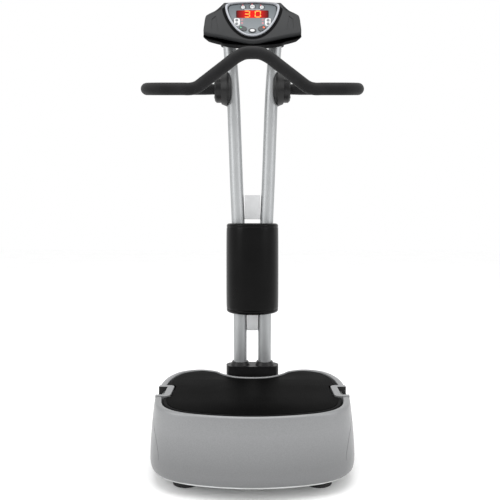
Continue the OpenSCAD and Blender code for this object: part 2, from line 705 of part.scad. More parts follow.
key_top = [[-26, 43], [0, 45], [26, 43]];
key_top_d = [11, 13, 11];
pair_x = 43;
pair_y = [1, -10.5];
start_c = [26, -26];
mode_c = [0, -33];
clear = 0.4;
key_at = concat(key_top, [for (s = [-1, 1], y = pair_y) [s * pair_x, y]],
    [[-start_c.x, start_c.y], start_c, mode_c]);

module face_panel() {
    color("#7f8588") on_face(panel_z - 3) difference() {
        linear_extrude(3) polygon(smaller(bezel_k - 0.007));
        for (k = [0:2]) translate([key_top[k].x, key_top[k].y, -1])
            cylinder(d = key_top_d[k] + 2 * clear, h = 5, $fn = 48);
        for (s = [-1, 1], y = pair_y) translate([s * pair_x, y, -1]) cylinder(d = 8 + 2 * clear, h = 5, $fn = 40);
        for (s = [-1, 1]) translate([s * start_c.x, start_c.y, -1]) key_slant(s, clear, 5);
        translate([mode_c.x, mode_c.y, -1]) pill(18 + 2 * clear, 12 + 2 * clear, 5, 6);
        translate([window_c.x, window_c.y, -1]) pill(window_size.x, window_size.y, 5, 3);
    }
}

module display_window() {
    color("#7a0b10") on_face(panel_z - 2) translate([window_c.x, window_c.y, 0])
        pill(window_size.x - 0.6, window_size.y - 0.6, 2, 2.7);
}

// A seven-segment figure, s = which of the segments a to g are lit.
segment = [22, 17, 2.6];
module figure(lit) {
    h = segment[0];
    w = segment[1];
    t = segment[2];
    at = [[0, h / 2 - t / 2, 0], [w / 2 - t / 2, h / 4, 1], [w / 2 - t / 2, -h / 4, 1], [0, -h / 2 + t / 2, 0],
        [-w / 2 + t / 2, -h / 4, 1], [-w / 2 + t / 2, h / 4, 1], [0, 0, 0]];
    for (k = [0:6]) if (lit[k]) translate([at[k][0], at[k][1], 0])
        cube(at[k][2] == 1 ? [t, h / 2 - t - 0.8, 0.4] : [w - 2 * t - 0.8, t, 0.4], center = true);
}
module display_digits() {
    color("#ffb020") on_face(panel_z + 0.2) translate([window_c.x, window_c.y, 0]) {
        translate([-15, 0, 0]) figure([true, true, true, true, false, false, true]);
        translate([15, 0, 0]) figure([true, true, true, true, true, true, false]);
    }
}

board_z = -14;
key_z = panel_z - 2;
stem_l = 7;
// The switches on the board end where a fully pressed key's stem would touch them.
switch_gap = 0.6;
switch_h = key_z - stem_l - board_z - key_travel - switch_gap;
module console_board() {
    color("#1e5a34") on_face(board_z) union() {
        translate([0, 0, -1.6]) linear_extrude(1.6) translate([0, 1]) square([104, 108], center = true);
        translate([window_c.x, window_c.y, 0]) linear_extrude(8) square([70, 22], center = true);
        at_each([for (k = key_at) [k.x, k.y, 0]]) linear_extrude(switch_h) square(6, center = true);
    }
}

// A key: a cap through the panel, and a stem that reaches down towards its switch.
module key_stem() { translate([0, 0, -stem_l]) cylinder(d = 4, h = stem_l, $fn = 24); }
module round_key(d) {
    union() {
        key_stem();
        translate([0, 0, -1]) cylinder(d = d, h = 4, $fn = 48);
        translate([0, 0, 3]) cylinder(d1 = d, d2 = d - 1.6, h = 0.8, $fn = 48);
    }
}
module key_slant(s, grow, h) {
    rotate([0, 0, s * 26]) pill(22 + 2 * grow, 14 + 2 * grow, h, 6.9);
}
module key_top(k) {
    color("#c9cbcd") on_face(key_z) translate([key_top[k].x, key_top[k].y, 0]) round_key(key_top_d[k]);
}
module key_top_left() { key_top(0); }
module key_top_centre() { key_top(1); }
module key_top_right() { key_top(2); }

module pair_key(s, k) { color("#f0f0ee") on_face(key_z) translate([s * pair_x, pair_y[k], 0]) round_key(8); }
module key_left_upper() { pair_key(-1, 0); }
module key_left_lower() { pair_key(-1, 1); }
module key_right_upper() { pair_key(1, 0); }
module key_right_lower() { pair_key(1, 1); }

module slanted_key(s) {
    color("#2c2d2f") on_face(key_z) translate([s * start_c.x, start_c.y, 0]) union() {
        key_stem();
        translate([0, 0, -1]) key_slant(s, 0, 4.6);
    }
}
module key_start() { slanted_key(-1); }
module key_stop() { slanted_key(1); }
module key_mode() {
    color("#2c2d2f") on_face(key_z) translate([mode_c.x, mode_c.y, 0]) union() {
        key_stem();
        translate([0, 0, -1]) pill(18, 12, 4.6, 5.9);
    }
}

// A flange behind the console, an arm back to the column and a split clamp on each tube.
neck_z = 1139;
neck_h = 18;
module neck_bracket() {
    half = lean_at(neck_z + neck_h / 2);
    color("#202122") difference() {
        union() {
            on_face(-front_t - back_d - 4.2) translate([0, -22, 0]) linear_extrude(4) square([74, 40], center = true);
            block([-30, 30], [console_y + 38, column_y], [neck_z, neck_z + neck_h]);
            block([-half, half], [column_y - 6, column_y + 6], [neck_z, neck_z + neck_h]);
            for (s = [-1, 1]) translate([s * half, column_y, neck_z])
                cylinder(d = tube_d + 12, h = neck_h, $fn = 72);
        }
        // Nothing of it reaches past the rear shell's back.
        on_face(-front_t - back_d - 0.2) linear_extrude(80) square([200, 200], center = true);
        for (s = [-1, 1]) translate([s * half, column_y, neck_z - 1])
            cylinder(d = tube_d + 4, h = neck_h + 2, $fn = 72);
    }
}

base_plate();
base_rails();
casing();
foot_pads();
foot_bolts();
casing_screws();
pivot_stands();
pivot_bushes();
motor();
motor_cradle();
motor_rotor();
drive_belt();
crankshaft();
driven_pulley();
crank_bearings();
connecting_rod();
rod_pin();
deck_frame();
deck_hangers();
pivot_shaft();
deck_cover();
deck_mat();
controller_box();
mains_inlet();
power_switch();
strap_anchors();
strap_pins();
column_foot();
column_bolts();
column_collar();
column_tube_left();
column_tube_right();
upper_crossbar();
lower_crossbar();
roller_pad();
handlebar_tube();
handlebar_foam();
housing_outer_left();
housing_outer_right();
housing_inner_left();
housing_inner_right();
housing_bolts();
neck_bracket();
console_back();
console_front();
console_bezel();
face_panel();
display_window();
display_digits();
console_board();
key_top_left();
key_top_centre();
key_top_right();
key_left_upper();
key_left_lower();
key_right_upper();
key_right_lower();
key_start();
key_stop();
key_mode();
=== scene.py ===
# %% [markdown]
# # Vibration plate
# This lesson dresses a standing vibration plate: a person stands on a rocking deck, holds a looped bar and
# reads a small console. The mechanical model gives every place and size; Blender adds finer surfaces and
# real finishes. All lengths are metres, +Z is up, and the user stands on the -Y side of the column, facing
# it.

# %% Load the frame
import math
import bmesh
import bpy
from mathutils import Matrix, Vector
from mathutils.geometry import tessellate_polygon


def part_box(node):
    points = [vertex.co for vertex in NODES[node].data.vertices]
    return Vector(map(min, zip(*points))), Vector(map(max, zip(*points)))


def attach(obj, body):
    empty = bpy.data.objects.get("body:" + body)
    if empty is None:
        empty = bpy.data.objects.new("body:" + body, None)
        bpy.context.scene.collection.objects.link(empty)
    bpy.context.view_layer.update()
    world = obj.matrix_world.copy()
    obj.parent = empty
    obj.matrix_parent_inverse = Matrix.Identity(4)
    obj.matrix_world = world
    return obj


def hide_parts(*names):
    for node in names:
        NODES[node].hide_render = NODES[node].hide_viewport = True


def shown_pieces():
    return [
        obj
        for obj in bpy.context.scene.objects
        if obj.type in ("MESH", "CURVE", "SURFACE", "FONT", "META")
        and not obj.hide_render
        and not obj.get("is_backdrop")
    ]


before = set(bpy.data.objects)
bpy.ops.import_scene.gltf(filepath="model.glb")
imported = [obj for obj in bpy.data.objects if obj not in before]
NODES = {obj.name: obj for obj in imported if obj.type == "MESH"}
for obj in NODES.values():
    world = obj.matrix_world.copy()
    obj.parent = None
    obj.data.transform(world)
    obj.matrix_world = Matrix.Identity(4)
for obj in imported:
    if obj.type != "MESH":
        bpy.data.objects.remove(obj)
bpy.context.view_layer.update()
MM = 0.001

# %% [markdown]
# ## Camera, floor and light
# The machine is seen level, from a little over a metre in front, at about knee to hip height. A level
# camera keeps the column's tubes upright, and a small shift, not a tilt, frames the whole height. Three
# large soft lamps over a pale floor give the long soft highlights that moulded plastic and satin tube need.

# %% Camera
EYE_HEIGHT = 0.615
EYE_DISTANCE = 1.25
casing_low, casing_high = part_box("casing")
camera_data = bpy.data.cameras.new("camera")
camera_data.sensor_width = 36
camera_data.lens = 40.6
camera_data.shift_y = -0.05
camera_data.shift_x = -0.0048
camera = bpy.data.objects.new("camera", camera_data)
camera.location = (0, casing_low.y + 10 * MM - EYE_DISTANCE, EYE_HEIGHT)
camera.rotation_euler = (math.radians(90), 0, 0)
bpy.context.scene.collection.objects.link(camera)
bpy.context.scene.camera = camera
bpy.context.scene.view_settings.view_transform = "Standard"
print("camera at", [round(v, 3) for v in camera.location])


# %% Helpers for colour and shader nodes
def srgb(code):
    """An sRGB hex colour such as "8a8d90" as linear red, green, blue and alpha."""
    parts = [int(code[i:i + 2], 16) / 255 for i in (0, 2, 4)]
    return [c / 12.92 if c <= 0.04045 else ((c + 0.055) / 1.055) ** 2.4 for c in parts] + [1.0]


def add(tree, kind, settings=None, **links):
    """Adds a shader node. settings are properties or socket values; links are socket = output to plug in."""
    made = tree.nodes.new("ShaderNode" + kind)
    for name, value in (settings or {}).items():
        if isinstance(name, str) and hasattr(made, name):
            setattr(made, name, value)
        else:
            made.inputs[name].default_value = value
    for name, output in links.items():
        socket = int(name[1:]) if name[0] == "_" and name[1:].isdigit() else name.replace("_", " ")
        tree.links.new(output, made.inputs[socket])
    return made


def material(name, roughness, metallic=0.0, **principled):
    """A material with its Principled shader; uniform values sit on the shader's own sockets."""
    made = bpy.data.materials.new(name)
    made.use_nodes = True
    shader = made.node_tree.nodes["Principled BSDF"]
    shader.inputs["Roughness"].default_value = roughness
    shader.inputs["Metallic"].default_value = metallic
    for socket, value in principled.items():
        shader.inputs[socket.replace("_", " ")].default_value = value
    return made, made.node_tree, shader


def mottle(tree, shader, dark, light, scale, detail=3.0, socket="Base Color"):
    """Colour that wanders between two close shades, as pigment and handling leave it."""
    place = add(tree, "TexCoord")
    noise = add(tree, "TexNoise", {"Scale": scale, "Detail": detail}, Vector=place.outputs["Object"])
    ramp = add(tree, "ValToRGB", Fac=noise.outputs["Fac"])
    ramp.color_ramp.elements[0].position = 0.35
    ramp.color_ramp.elements[1].position = 0.65
    ramp.color_ramp.elements[0].color = srgb(dark)
    ramp.color_ramp.elements[1].color = srgb(light)
    tree.links.new(ramp.outputs["Color"], shader.inputs[socket])
    return place


def relief(tree, shader, height, depth, strength):
    """Bump from a height output, depth in metres."""
    bump = add(tree, "Bump", {"Strength": strength, "Distance": depth}, Height=height)
    tree.links.new(bump.outputs["Normal"], shader.inputs["Normal"])


def worn_roughness(tree, shader, place, low, high, scale):
    """Roughness that varies a little, from handling and polishing."""
    noise = add(tree, "TexNoise", {"Scale": scale, "Detail": 4.0}, Vector=place.outputs["Object"])
    spread = add(tree, "MapRange", {"To Min": low, "To Max": high}, Value=noise.outputs["Fac"])
    tree.links.new(spread.outputs["Result"], shader.inputs["Roughness"])


def speckle(grain):
    """Noise scale for spots of the given size in metres."""
    return 1.0 / (2.0 * grain)


# %% [markdown]
# ## Floor and lights
# A real product picture is taken on a white sweep: the floor is pale and the lamps are big boxes of cloth.
# Area lamps stand for them. The two side lamps draw the bright edges on the tubes, and the one overhead
# lights the deck.

# %% Floor and lights
floor_mesh = bpy.data.meshes.new("studio_floor")
FLOOR_HALF = 12.0
corners = [(x * FLOOR_HALF, y * FLOOR_HALF, 0) for x, y in ((-1, -1), (1, -1), (1, 1), (-1, 1))]
floor_mesh.from_pydata(corners, [], [(0, 1, 2, 3)])
floor = bpy.data.objects.new("studio_floor", floor_mesh)
bpy.context.scene.collection.objects.link(floor)
paint, tree, shader = material("matt_white_paint", 0.9)
mottle(tree, shader, "fdfdfd", "ffffff", 2.0)
floor.data.materials.append(paint)
floor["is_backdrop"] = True


def lamp(name, place, aim, size, power):
    data = bpy.data.lights.new(name, "AREA")
    data.shape = "RECTANGLE"
    data.size, data.size_y = size
    data.energy = power
    made = bpy.data.objects.new(name, data)
    made.location = place
    made.rotation_euler = (Vector(aim) - Vector(place)).to_track_quat("-Z", "Y").to_euler()
    bpy.context.scene.collection.objects.link(made)


lamp("lamp_left", (-2.2, -1.2, 1.6), (0, 0, 0.6), (1.2, 2.0), 20)
lamp("lamp_right", (2.2, -1.2, 1.6), (0, 0, 0.6), (1.2, 2.0), 14)
lamp("lamp_top", (0, -0.6, 3.0), (0, 0, 0.2), (2.4, 2.4), 45)
world = bpy.data.worlds.new("studio")
bpy.context.scene.world = world
world.use_nodes = True
world.node_tree.nodes["Background"].inputs["Color"].default_value = srgb("ffffff")
world.node_tree.nodes["Background"].inputs["Strength"].default_value = 1.0
print("floor and three lamps")


# %% [markdown]
# ## Shapes made from rings
# Most of the machine's skins are lofts: a closed outline repeated at several heights, a little larger or
# smaller each time. A smooth outline comes from a few points and a Catmull-Rom curve, which passes through
# every one of them. This is how a designer's section drawing works, and it keeps each skin to one clean
# grid of four-sided faces.

# %% Curves and lofts
def catmull(a, b, c, d, t):
    """A point of the smooth curve between b and c."""
    square, cube = 2 * a - 5 * b + 4 * c - d, 3 * b - a - 3 * c + d
    return 0.5 * (2 * b + (c - a) * t + square * t * t + cube * t ** 3)


def closed_curve(points, steps):
    n = len(points)
    return [catmull(points[i - 1], points[i], points[(i + 1) % n], points[(i + 2) % n], k / steps)
            for i in range(n) for k in range(steps)]


def open_curve(points, steps):
    last = len(points) - 1
    curve = [catmull(points[max(i - 1, 0)], points[i], points[i + 1], points[min(i + 2, last)], k / steps)
             for i in range(last) for k in range(steps)]
    return curve + [points[-1]]


def mirrored(half):
    """The whole outline from its right half, millimetres in, metres out."""
    half = [Vector((x, y)) * MM for x, y in half]
    return half + [Vector((-p.x, p.y)) for p in half[-2:0:-1]]


def grown(outline, d):
    """The outline moved outward by d metres."""
    n = len(outline)
    moved = []
    for i in range(n):
        t = (outline[(i + 1) % n] - outline[i - 1]).normalized()
        moved.append(outline[i] + d * Vector((t.y, -t.x)))
    return moved


def flat_ring(outline, z):
    return [Vector((p.x, p.y, z)) for p in outline]


def build(name, body, verts, faces, mat, smooth=40):
    """A named piece on a body, shaded smooth except across edges sharper than the given angle."""
    mesh = bpy.data.meshes.new(name)
    mesh.from_pydata([tuple(v) for v in verts], [], faces)
    mesh.validate()
    bm = bmesh.new()
    bm.from_mesh(mesh)
    bmesh.ops.remove_doubles(bm, verts=bm.verts, dist=1e-6)
    bmesh.ops.recalc_face_normals(bm, faces=bm.faces)
    bm.to_mesh(mesh)
    bm.free()
    mesh.shade_smooth()
    mesh.set_sharp_from_angle(angle=math.radians(smooth))
    mesh.materials.append(mat)
    piece = bpy.data.objects.new(name, mesh)
    bpy.context.scene.collection.objects.link(piece)
    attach(piece, body)
    return piece


def loft_faces(count, rings, closed=False, first=0):
    """Four-sided faces between rings; the last ring meets the first when closed."""
    spans = rings if closed else rings - 1
    return [(first + j * count + i, first + j * count + (i + 1) % count,
             first + ((j + 1) % rings) * count + (i + 1) % count, first + ((j + 1) % rings) * count + i)
            for j in range(spans) for i in range(count)]


def cap(ring_points, first, flip=False):
    """Triangles over a ring that may have hollows in its outline."""
    flat = [Vector((p.x, p.y, 0)) for p in ring_points]
    triangles = tessellate_polygon([flat])
    return [tuple(first + k for k in (reversed(t) if flip else t)) for t in triangles]


def loft(name, body, rings, mat, closed=False, smooth=40):
    """A solid skin through the rings."""
    count = len(rings[0])
    verts = [v for ring in rings for v in ring]
    faces = loft_faces(count, len(rings), closed)
    if not closed:
        faces += cap(rings[0], 0) + cap(rings[-1], (len(rings) - 1) * count, True)
    return build(name, body, verts, faces, mat, smooth)


def swept(path, radius, sides, up=Vector((0, 0, 1))):
    """Rings of a round bar along a path. radius is a number or a function of the distance from the ends."""
    rings = []
    for i, p in enumerate(path):
        t = (path[min(i + 1, len(path) - 1)] - path[max(i - 1, 0)]).normalized()
        u = up.cross(t).normalized()
        v = t.cross(u)
        r = radius(i) if callable(radius) else radius
        rings.append([p + r * (math.cos(2 * math.pi * k / sides) * u + math.sin(2 * math.pi * k / sides) * v)
                      for k in range(sides)])
    return rings


def rounded(profile, steps=4):
    """A section's points joined by a smooth open curve."""
    return open_curve([Vector(p) for p in profile], steps)


print("ring tools ready")

# %% [markdown]
# ## Casing
# The casing is one deep injection moulding in silver metallic ABS. The silver is flake in the plastic, not
# paint: it looks like grey satin with a faint sparkle and no mirror. It could be shaded as metal, but a low
# metallic value with a mid roughness gives the broad, milky highlight of flake in plastic. The wall swells
# towards the floor, rolls over at the rim and turns down again into the gap around the deck.

# %% Silver metallic ABS
silver_abs, tree, shader = material("silver_metallic_abs", 0.42, 0.35, Coat_Weight=0.25, Coat_Roughness=0.2)
FLAKE = 1.2 * MM  # real flake is far finer; drawn coarse enough to show
place = mottle(tree, shader, "7c7d7e", "828384", speckle(FLAKE), 2.0)
# painted shade: the colour darkens towards the floor, where the wall gets less light from above
flakes = shader.inputs["Base Color"].links[0].from_socket
heights = add(tree, "SeparateXYZ", Vector=place.outputs["Object"])
painted_shade_by_height = add(tree, "MapRange", {"From Min": 70 * MM, "From Max": 145 * MM, "To Min": 0.72, "To Max": 1.0},
              Value=heights.outputs["Z"])
shaded_flakes = add(tree, "VectorMath", {"operation": "SCALE"}, _0=flakes, Scale=painted_shade_by_height.outputs["Result"])
tree.links.new(shaded_flakes.outputs["Vector"], shader.inputs["Base Color"])
worn_roughness(tree, shader, place, 0.38, 0.46, speckle(60 * MM))

# %% Casing shell: one skin, up the outside, over the lip and down the inside
BASE_Y = casing_low.y + 226 * MM
# right half of the rim, and the wall's section as height against distance outside the rim, in millimetres
RIM_HALF = [(0, -216), (100, -206), (180, -181), (226, -135), (243, -60), (247, 20), (241, 110), (212, 178),
            (158, 206), (108, 190), (80, 156), (46, 130), (0, 122)]
rim = [p + Vector((0, BASE_Y)) for p in closed_curve(mirrored(RIM_HALF), 12)]
wall_height = casing_high.z - casing_low.z
OUTSIDE = [(0, -2), (0.6, 2), (4, 6), (12, 9), (26, 10), (60, 9), (100, 6), (133, 2.5), (147, 0.6),
           (153, -1.2), (156, -4.5)]
LIP = [(155.6, -7), (154.6, -8.4), (152, -9), (142, -9), (141, -7.2)]
INSIDE = [(133, -0.6), (100, 3), (60, 6), (26, 7), (12, 6), (4, 3), (0.6, -2.2)]
SIDE_K = 0.965  # the lip is wider at the sides than in front


def narrowed(outline):
    return [Vector((p.x * SIDE_K, p.y)) for p in outline]


casing_rings = [flat_ring(grown(rim, g * MM), casing_low.z + z * MM) for z, g in rounded(OUTSIDE, 5)]
casing_rings += [flat_ring(narrowed(grown(rim, g * MM)), casing_low.z + z * MM) for z, g in rounded(LIP, 2)]
casing_rings += [flat_ring(grown(rim, g * MM), casing_low.z + z * MM) for z, g in rounded(INSIDE, 2)]
casing_shell = loft("casing_shell", "root", casing_rings, silver_abs, closed=True, smooth=60)
print("casing wall", round(wall_height, 3), "rings", len(casing_rings))


# %% [markdown]
# ## Cut-outs in the casing
# The moulding has two notches in its rim, where the strap anchors sit, and a window at the back for the
# mains inlet. A Boolean modifier with a simple cutting block is the quickest honest way: it makes real
# edges with real thickness.

# %% Cutting helpers
def prism(outline, low, high, name="cutter"):
    """An upright solid over an outline, used as a cutting block or a plate."""
    bm = bmesh.new()
    base = [bm.verts.new((p.x, p.y, low)) for p in outline]
    face = bm.faces.new(base)
    top = bmesh.ops.extrude_face_region(bm, geom=[face])
    raised = [v for v in top["geom"] if isinstance(v, bmesh.types.BMVert)]
    bmesh.ops.translate(bm, vec=(0, 0, high - low), verts=raised)
    bmesh.ops.recalc_face_normals(bm, faces=bm.faces)
    mesh = bpy.data.meshes.new(name)
    bm.to_mesh(mesh)
    bm.free()
    made = bpy.data.objects.new(name, mesh)
    bpy.context.scene.collection.objects.link(made)
    return made


def rounded_box(low, high, r, steps=6):
    """Outline of a rectangle with round corners, counter-clockwise."""
    corners = [((high[0] - r, low[1] + r), -90), ((high[0] - r, high[1] - r), 0),
               ((low[0] + r, high[1] - r), 90), ((low[0] + r, low[1] + r), 180)]
    return [Vector((c[0] + r * math.cos(math.radians(a + 90 * k / steps)),
                    c[1] + r * math.sin(math.radians(a + 90 * k / steps))))
            for c, a in corners for k in range(steps + 1)]


def apply_modifiers(piece):
    """Bakes a piece's modifiers into its mesh."""
    shape = piece.evaluated_get(bpy.context.evaluated_depsgraph_get())
    mesh = bpy.data.meshes.new_from_object(shape)
    piece.modifiers.clear()
    piece.data = mesh


def cut(piece, cutters, smooth=40):
    """Takes the cutters out of the piece and throws them away."""
    for cutter in cutters:
        step = piece.modifiers.new("cut", "BOOLEAN")
        step.operation = "DIFFERENCE"
        step.solver = "EXACT"
        step.object = cutter
        apply_modifiers(piece)
        bpy.data.objects.remove(cutter)
    piece.data.shade_smooth()
    piece.data.set_sharp_from_angle(angle=math.radians(smooth))


# %% Cut the casing
anchor_low, anchor_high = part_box("strap_anchors")
inlet_low, inlet_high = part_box("mains_inlet")
ANCHOR_INNER_X = 206 * MM
FIT = 0.3 * MM
NOTCH_R = 14 * MM
INLET_WALL = 2 * MM
blocks = []
for side in (-1, 1):
    ends = sorted((side * (ANCHOR_INNER_X - FIT), side * (anchor_high.x + 30 * MM)))
    outline = rounded_box((ends[0], anchor_low.y - FIT), (ends[1], anchor_high.y + FIT), NOTCH_R)
    blocks.append(prism(outline, anchor_low.z - FIT, anchor_high.z + 20 * MM))
inlet_hole = rounded_box((inlet_low.x + INLET_WALL, inlet_low.y - 30 * MM),
                         (inlet_high.x - INLET_WALL, inlet_high.y + 20 * MM), MM)
blocks.append(prism(inlet_hole, inlet_low.z + INLET_WALL, inlet_high.z - INLET_WALL))
cut(casing_shell, blocks, 60)


# %% Body line on both sides
def on_wall(x, z):
    """The point of the front wall at a given x and height, in millimetres."""
    _, spot, _, _ = casing_shell.ray_cast(Vector((x * MM, -1, z * MM)), Vector((0, 1, 0)))
    return spot


bpy.context.view_layer.update()
LINE_R = 2.0 * MM
# x and height of the right-hand line, in millimetres, from the anchor's notch down
BODY_LINE = [(236.5, 154), (233.6, 144), (226, 121), (220, 99), (217, 84), (216, 72)]
line = open_curve([on_wall(x, z) for x, z in BODY_LINE], 6)
grooves = []
for side in (-1, 1):
    path = [Vector((side * p.x, p.y, p.z)) for p in line]
    rings = swept(path, lambda i: LINE_R * (1 - 0.7 * i / len(line)), 10)
    grooves.append(loft("line_cutter", "root", rings, silver_abs))
cut(casing_shell, grooves, 60)
print("body line ends at", [round(v, 3) for v in line[-1]])

# %% Boss round the mains inlet
BOSS_RISE = 4.5 * MM
boss_outline = rounded_box((inlet_low.x - 5 * MM, inlet_low.y + 14 * MM),
                           (inlet_high.x + 5 * MM, inlet_high.y - 3.2 * MM), 3 * MM)
inlet_boss = prism(boss_outline, inlet_low.z - BOSS_RISE, inlet_high.z + BOSS_RISE, "inlet_boss")
cut(inlet_boss, [prism(inlet_hole, inlet_low.z + INLET_WALL, inlet_high.z - INLET_WALL)])
inlet_boss.data.materials.append(silver_abs)
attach(inlet_boss, "root")
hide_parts("casing")
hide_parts("casing")
print("casing cut:", len(casing_shell.data.polygons), "faces")

# %% [markdown]
# ## Rocking deck
# The deck is a black ABS tray with a rubber mat let into its top. It rides on its own shaft, so a narrow
# gap runs all the way round it, and it must stay a separate piece on the deck body. Black plastic is never
# quite black: a soft sheen on its rolled edge is what shows its shape.

# %% Black ABS
black_abs, tree, shader = material("black_abs", 0.38, Specular_IOR_Level=0.3)
SPARK_GRAIN = 1.5 * MM  # spark-eroded mould texture, drawn a little coarse
place = mottle(tree, shader, "0a0a0b", "101011", speckle(30 * MM))
worn_roughness(tree, shader, place, 0.32, 0.44, speckle(40 * MM))
grain = add(tree, "TexNoise", {"Scale": speckle(SPARK_GRAIN), "Detail": 2.0}, Vector=place.outputs["Object"])
relief(tree, shader, grain.outputs["Fac"], 0.05 * MM, 0.25)

# %% Matt black moulding
matt_black, tree, shader = material("matt_black_moulding", 0.7, Specular_IOR_Level=0.08)
place = mottle(tree, shader, "060606", "0a0a0b", speckle(20 * MM))
worn_roughness(tree, shader, place, 0.62, 0.78, speckle(15 * MM))

# %% Studded rubber mat
mat_rubber, tree, shader = material("deck_mat_rubber", 0.5, IOR=1.06)
place = mottle(tree, shader, "030303", "060606", speckle(50 * MM))
STUD_PITCH = 7 * MM
studs = add(tree, "TexVoronoi", {"Scale": 1 / STUD_PITCH, "Randomness": 0.0}, Vector=place.outputs["Object"])
dome = add(tree, "MapRange", {"From Min": 0.15, "From Max": 0.42, "To Min": 1.0, "To Max": 0.0},
           Value=studs.outputs["Distance"])
relief(tree, shader, dome.outputs["Result"], 0.4 * MM, 0.5)
worn_roughness(tree, shader, place, 0.42, 0.58, speckle(70 * MM))

# %% Deck cover and mat: sections as depth below the top against distance outside the deck's outline
RIM_AND_GAP = 13 * MM
ANCHOR_GAP = 4 * MM
cover_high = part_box("deck_cover")[1]
cover_outline = narrowed(grown(rim, -RIM_AND_GAP))
COVER_EDGE = [(18, -2), (16.6, -0.6), (13, 0), (4.5, 0), (2.6, -0.15), (1.2, -0.9), (0.3, -2.2), (0, -4.5)]
TRAY_EDGE = [(0.1, -7.6), (0.4, -8), (2, -8.2)]
rings = [flat_ring(grown(cover_outline, g * MM), cover_high.z - z * MM) for z, g in COVER_EDGE + TRAY_EDGE]
deck_tray = loft("deck_tray", "deck", rings, matt_black)
mat_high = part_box("deck_mat")[1]
MAT_EDGE = [(2.4, -8.6), (0.9, -8.6), (0.3, -9), (0, -10.2)]
rings = [flat_ring(grown(cover_outline, g * MM), mat_high.z - z * MM) for z, g in MAT_EDGE]
deck_pad = loft("deck_pad", "deck", rings, mat_rubber)
for piece, more in ((deck_tray, 0.0), (deck_pad, 0.6 * MM)):
    blocks = []
    for side in (-1, 1):
        reach = ANCHOR_INNER_X - ANCHOR_GAP - more
        ends = sorted((side * reach, side * 0.3))
        outline = rounded_box((ends[0], anchor_low.y - ANCHOR_GAP - more),
                              (ends[1], anchor_high.y + ANCHOR_GAP + more), NOTCH_R)
        blocks.append(prism(outline, 0.1, 0.25))
    cut(piece, blocks)
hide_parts("deck_cover")
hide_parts("deck_mat")

# %% [markdown]
# ## Column tubes
# Two steel tubes rise from the base side by side, then spread gently apart. They are ground, nickelled or
# painted a satin silver. A brushed tube has very fine lines around it, but from a metre away it reads as a
# soft vertical highlight, so a metal with mid roughness and a faint variation along it is enough.

# %% Satin silver steel
satin_steel, tree, shader = material("satin_silver_steel", 0.44, 0.8)
place = mottle(tree, shader, "a4a6a7", "a8aaab", speckle(30 * MM))
worn_roughness(tree, shader, place, 0.42, 0.46, speckle(45 * MM))

# %% Tubes
pad_low, pad_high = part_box("roller_pad")
COLUMN_Y = (pad_low.y + pad_high.y) / 2
TUBE_R = 19 * MM
tube_low, tube_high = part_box("column_tube_right")
# half distance between the tubes' centres against height, in millimetres
TUBE_LINE = [(35.5, tube_low.z / MM), (35.5, 300), (37, 480), (41.5, 620), (46.5, 740), (51.5, 880),
             (56.5, 1000), (68, tube_high.z / MM)]
for name, side in (("left", -1), ("right", 1)):
    path = open_curve([Vector((side * x * MM, COLUMN_Y, z * MM)) for x, z in TUBE_LINE], 6)
    tube = loft("tube_" + name, "root", swept(path, TUBE_R, 48, Vector((0, 1, 0))), satin_steel)
    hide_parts("column_tube_" + name)
print("tubes from", round(tube_low.z, 3), "to", round(tube_high.z, 3))

# %% [markdown]
# ## Handlebar
# The bar is one steel loop in a sleeve of black closed-cell foam, the soft grip found on gym machines. Foam
# has no gloss: it is matte and slightly grainy, with a grey bloom where the light grazes it, which the
# sheen setting gives. Each end turns back in an arc, so the path is straight runs, quarter circles and a
# raised middle.

# %% Closed-cell foam
grip_foam, tree, shader = material("closed_cell_foam", 0.66, Sheen_Weight=0.04, Sheen_Roughness=0.5,
                                   Specular_IOR_Level=0.2)
PORE = 1.6 * MM
place = mottle(tree, shader, "0c0c0d", "131314", speckle(14 * MM))
pores = add(tree, "TexVoronoi", {"Scale": 1 / PORE}, Vector=place.outputs["Object"])
relief(tree, shader, pores.outputs["Distance"], 0.12 * MM, 0.35)

# %% Foam sleeve
foam_low, foam_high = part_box("handlebar_foam")
FOAM_R = 16 * MM
BAR_X = foam_high.x - FOAM_R
GRIP_Z = foam_low.z + FOAM_R
HUMP_Z = foam_high.z - FOAM_R
FRONT_Y = foam_low.y + FOAM_R
REAR_Z = GRIP_Z + 47 * MM
BEND_R = 58 * MM
slope = Vector((0, COLUMN_Y - FRONT_Y, REAR_Z - GRIP_Z)).normalized()
sideways = Vector((1, 0, 0))


def quarter(centre, u, v):
    """A quarter circle from centre + u towards centre + v."""
    steps = 10
    return [centre + BEND_R * (math.cos(a) * u + math.sin(a) * v)
            for a in (math.pi / 2 * k / steps for k in range(steps + 1))]


hump = [Vector((x * MM, FRONT_Y, HUMP_Z - drop * MM)) for x, drop in ((0, 0), (22, 2), (44, 13))]
foot = [Vector((x * MM, FRONT_Y, GRIP_Z + rise * MM)) for x, rise in ((124, 18), (142, 5), (160, 0))]
slant = [hump[-1].lerp(foot[0], t) for t in (0.25, 0.5, 0.75)]
grip = [Vector((x * MM, FRONT_Y, GRIP_Z)) for x in (180, 206)]
front_turn = quarter(Vector((BAR_X - BEND_R, FRONT_Y, GRIP_Z)) + BEND_R * slope, -slope, sideways)
rear_turn = quarter(Vector((BAR_X - BEND_R, COLUMN_Y, REAR_Z)) - BEND_R * slope, sideways, slope)
HOUSING_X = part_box("housing_outer_right")[1].x
tail = [Vector((x, COLUMN_Y, REAR_Z)) for x in (190 * MM, 140 * MM, HOUSING_X + 1.2 * MM)]
right_arch = hump + slant + foot + grip
arch = open_curve([Vector((-p.x, p.y, p.z)) for p in right_arch[:0:-1]] + right_arch, 5)
left_end = [Vector((-p.x, p.y, p.z)) for p in reversed(front_turn + rear_turn + tail)]
sleeve_path = left_end + arch + front_turn + rear_turn + tail


def end_round(i):
    """The sleeve's two cut ends are slightly rounded."""
    return FOAM_R * (0.94 if i in (0, len(sleeve_path) - 1) else 1.0)


